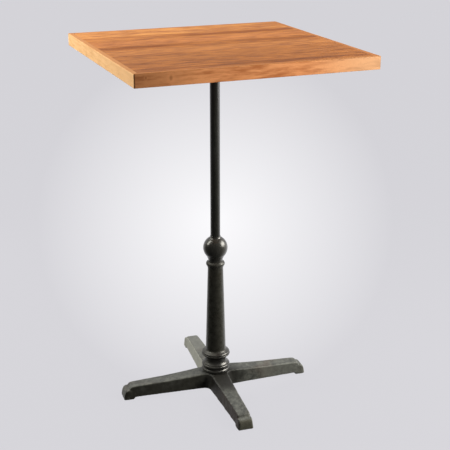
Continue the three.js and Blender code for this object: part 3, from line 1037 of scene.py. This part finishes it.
def build_battens():
    for side in ("left", "right"):
        node = f"batten_{side}"
        low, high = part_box(node)
        piece = strip(f"rail_{side}", low, high, (BATTEN_EASE,) * 4, 0.0, "y")
        carved(piece, screw_holes(SUNK_SCREWS, low, high))
        shift = (21.0 if side == "left" else 27.5, 3.0, 5.0)
        material = wood(f"batten_wood_{side}", (0.46, 0.25, 0.12), (0.34, 0.17, 0.075), shift, (), "y")
        finish(piece, material, "battens", node)


build_boards()
build_lippings()
build_battens()


# -------------------------------- fixings, glides and the spider

ROD_THREAD = (1.0 * MM, 1.75 * MM)      # depth and pitch
STEM_THREAD = (0.68 * MM, 1.25 * MM)
SCREW_THREAD = (0.55 * MM, 1.8 * MM)
NUT_BORE = 6.3 * MM                     # radius, clear of the M12 rod
# Wood screws' heads as radius and height in mm, from the middle of the face up to the shank
SUNK_HEAD = ((0, 0), (4.3, 0), (4.5, 0.25), (3.5, 1.3), (2.3, 2.3), (2.0, 2.7))
PAN_HEAD = ((0, 0), (2.6, 0.05), (3.7, 0.45), (4.6, 1.3), (5, 2.2), (5, 2.9), (4.8, 3), (2.2, 3))


def levels(low, high, step):
    """Heights from low to high, about step apart."""
    count = max(1, round((high - low) / step))
    return [low + (high - low) * i / count for i in range(count + 1)]


def thread(core, depth, pitch, low, high):
    """A warp that cuts a helical thread between two heights and runs out at both ends."""
    def warp(angle, radius, height):
        if radius < 0.93 * core or not low < height < high:
            return radius
        phase = (height / pitch - angle / (2 * math.pi)) % 1.0
        runout = min(1.0, (height - low) / pitch, (high - height) / pitch)
        return radius - depth * runout * abs(2 * phase - 1)
    return warp


def build_rod():
    """The tie rod, threaded at both ends."""
    low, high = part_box("tie_rod")
    radius = (high.x - low.x) / 2
    ease, step = 0.9 * MM, 0.32 * MM
    foot_end, head_start = low.z + 34 * MM, high.z - 30 * MM
    rows = [(0, low.z), (radius - ease, low.z), (radius, low.z + ease)]
    rows += [(radius, z) for z in levels(low.z + 1.2 * MM, foot_end, step)]
    rows += [(radius, z) for z in levels(foot_end, head_start, 60 * MM)[1:]]
    rows += [(radius, z) for z in levels(head_start, high.z - 1.2 * MM, step)[1:]]
    rows += [(radius, high.z - ease), (radius - ease, high.z), (0, high.z)]
    foot = thread(radius, *ROD_THREAD, low.z, foot_end)
    head = thread(radius, *ROD_THREAD, head_start, high.z)

    def both(angle, reach, height):
        return head(angle, foot(angle, reach, height), height)

    return new_piece("rod_tie", lathe(rows, 28, warp=both), smooth_angle=50)


def build_nut(node, name):
    """A hexagon nut, chamfered at both faces."""
    low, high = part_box(node)
    corner = (high.x - low.x) / 2
    flat = corner * math.cos(math.pi / 6)
    face, ease = 0.96 * flat, 0.8 * MM
    chamfer = (corner - face) * 0.577
    rows = [(NUT_BORE, low.z + ease), (NUT_BORE + ease, low.z)]
    rows += [(face + (corner - face) * i / 6, low.z + chamfer * i / 6) for i in range(7)]
    rows += [(corner - (corner - face) * i / 6, high.z - chamfer + chamfer * i / 6) for i in range(7)]
    rows += [(NUT_BORE + ease, high.z), (NUT_BORE, high.z - ease)]

    def hexagon(angle, radius, _):
        if radius < NUT_BORE + 1 * MM:
            return radius
        around = (angle + math.pi / 6) % (math.pi / 3) - math.pi / 6
        return min(radius, flat / math.cos(math.pi / 6 - abs(around)))

    return new_piece(name, lathe(rows, 72, warp=hexagon), smooth_angle=25)


def build_washer(node, name):
    low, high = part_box(node)
    outer, inner, ease = (high.x - low.x) / 2, NUT_BORE, 0.4 * MM
    rows = [
        (inner, low.z + ease), (inner + ease, low.z), (outer - ease, low.z), (outer, low.z + ease),
        (outer, high.z - ease), (outer - 1.6 * ease, high.z), (inner + ease, high.z), (inner, high.z - ease),
    ]
    return new_piece(name, lathe(rows, 64), smooth_angle=30)


def cross_recess(at, depth, reach):
    """Two crossed wedges for a screwdriver, opening downward at a height."""
    cutters = []
    for turn in (0, math.pi / 2):
        spin = Matrix.Rotation(turn + 0.4, 3, "Z")
        rings = []
        for height, half, width in ((-0.4, 1.06, 1.0), (0.0, 1.0, 1.0), (depth, 0.45, 0.55)):
            x, y = reach * half, 0.42 * width
            corners = ((-x, -y), (x, -y), (x, y), (-x, y))
            rise = Vector((0, 0, height * MM))
            rings.append([at + spin @ Vector((a, b, 0)) * MM + rise for a, b in corners])
        cutters.append(sweep(rings))
    return cutters


def build_screw(node, name, head):
    """A wood screw, point up, with a cross recess in its head."""
    low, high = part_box(node)
    middle = (low + high) / 2
    base = Vector((middle.x, middle.y, low.z))
    length = (high.z - low.z) / MM
    shank, neck = head[-1]
    start, tip = neck + 5, length - 4
    rows = [*head, *((shank, z) for z in levels(start, tip, 0.42))]
    rows += [(shank * (length - z) / 4, z) for z in levels(tip, length, 0.5)[1:-1]] + [(0, length)]
    profile = [(r * MM, z * MM) for r, z in rows]
    warp = thread(shank * MM, *SCREW_THREAD, start * MM, (length - 1.5) * MM)
    piece = new_piece(name, lathe(profile, 20, base, warp), smooth_angle=40)
    return carved(piece, cross_recess(base, 1.5, 2.3))


def grip(angle, radius, _):
    """A warp that cuts shallow grooves round a pad's rim."""
    return radius - (0.25 * MM if radius > 8.9 * MM and math.cos(angle * 18) > 0.3 else 0)


def build_glide(side):
    """A nylon pad with a grooved rim, and the threaded stem that stands in it."""
    low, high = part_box(f"glide_pad_{side}")
    middle = (low + high) / 2
    base = Vector((middle.x, middle.y, low.z))
    top = (high.z - low.z) / MM
    rows = (
        (0, 0.35, 0), (5.6, 0.35, 0), (5.9, 0, 0), (7.8, 0, 0.2), (9, 1.3, 0), (9, top - 0.7, 0.2),
        (8.3, top, 0), (4.4, top, 0), (4.4, 2.5, 0), (0, 2.5, 0),
    )
    body = f"glide_{side}"
    pad = new_piece(f"pad_{side}", lathe(outline(rows), 72, base, grip), body, 35)
    foot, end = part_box(f"glide_stem_{side}")
    core, ease = 4.0 * MM, 0.4 * MM
    rows = [(0, foot.z), (core - ease, foot.z), (core, foot.z + ease)]
    rows += [(core, z) for z in levels(foot.z + 0.6 * MM, end.z - 1.2 * MM, 0.25 * MM)]
    rows += [(core - 1 * MM, end.z), (0, end.z)]
    middle = (foot + end) / 2
    cut = thread(core, *STEM_THREAD, foot.z, end.z - 0.8 * MM)
    stem = new_piece(f"stem_{side}", lathe(rows, 24, Vector((middle.x, middle.y, 0)), cut), body, 50)
    return pad, stem


# The spider's arms in mm: their reach, thickness and half width
SPIDER_REACH = 185
SPIDER_PLATE = 8
ARM_HALF = 13
# The rib's underside: a curve's start, bend and end as distance from the axis and height above the seat
RIB_CURVE = ((18, -49), (32, -14), (90, -7.5))


def spider_arm(angle, seat):
    """A flat arm with a round end, and the curved rib below it, drafted as cast."""
    under = seat - SPIDER_PLATE
    rings = []
    for height, inset in ((under, 1.6), (under + 2, 0), (seat - 0.6, 0), (seat, 0.6)):
        half = ARM_HALF - inset
        ring = [(-4, half), (-4, -half)]
        for i in range(13):
            turn = math.radians(-90 + 15 * i)
            ring.append((SPIDER_REACH - ARM_HALF + half * math.cos(turn), half * math.sin(turn)))
        rings.append([(x, y, height) for x, y in ring])
    spin = Matrix.Rotation(angle, 3, "Z")
    arm = sweep([[spin @ Vector(point) * MM for point in ring] for ring in rings])
    ribs = []
    for i in range(11):
        t = i / 10
        shares = ((1 - t) ** 2, 2 * t * (1 - t), t * t)
        x = sum(share * spot[0] for share, spot in zip(shares, RIB_CURVE))
        z = sum(share * (seat + spot[1]) for share, spot in zip(shares, RIB_CURVE))
        ring = ((x, -2.9, z), (x, 2.9, z), (x, 3.9, seat - 5), (x, -3.9, seat - 5))
        ribs.append([spin @ Vector(point) * MM for point in ring])
    return [arm, sweep(ribs)]


def build_spider():
    """The cast spider under the boards: four ribbed arms round the tube's socket, with screw holes."""
    low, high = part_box("top_spider")
    seat, foot = high.z / MM, low.z / MM
    tube_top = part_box("upper_tube")[1].z / MM
    shelf, ledge = tube_top + 0.3, tube_top + 8.3
    socket = (
        (0, foot, 0), (21.2, foot, 0), (22, foot + 1, 0), (24, seat - 14, -0.2), (38, seat - SPIDER_PLATE, 0),
        (38, seat, 0), (0, seat, 0),
    )
    bore = (
        (0, foot - 4, 0), (15.3, foot - 4, 0), (15.3, shelf, 0), (7, shelf, 0), (7, ledge, 0),
        (16, ledge, 0), (16, seat + 4, 0), (0, seat + 4, 0),
    )
    solids = []
    for arm in range(4):
        solids += spider_arm(math.radians(45 + 90 * arm), seat)
    solids.append(lathe(outline(socket), 96))
    hollows = [lathe(outline(bore), 96)]
    for node in PAN_SCREWS:
        middle = centre(node)
        hole = ((0, seat - 12, 0), (2.6, seat - 12, 0), (2.6, seat + 3, 0), (0, seat + 3, 0))
        hollows.append(lathe(outline(hole), 24, Vector((middle.x, middle.y, 0))))
    return cast("spider_cast", solids, hollows, 1.1 * MM, 2, 0.00022)


steel = plated("plated_steel")
pad_nylon = nylon("black_nylon")
spider_iron = iron(
    "spider_iron", (0.02, 0.02, 0.018), (0.04, 0.04, 0.037), (0.05, 0.035, 0.025), 0.6, 0.2, 0.0005, 0.3,
)
finish(build_spider(), spider_iron, "spider_iron", "top_spider")
finish(build_rod(), steel, "plated_steel", "tie_rod")
for place in ("upper", "lower"):
    finish(build_nut(f"nut_{place}", f"hexnut_{place}"), steel, "plated_steel", f"nut_{place}")
    finish(build_washer(f"washer_{place}", f"ring_{place}"), steel, "plated_steel", f"washer_{place}")
for screws, head in ((PAN_SCREWS, PAN_HEAD), (SUNK_SCREWS, SUNK_HEAD)):
    for node, name in screws.items():
        finish(build_screw(node, name, head), steel, "plated_steel", node)
for side in SIDES:
    pad, stem = build_glide(side)
    finish(pad, pad_nylon, "glide_nylon", f"glide_pad_{side}")
    finish(stem, steel, "plated_steel", f"glide_stem_{side}")
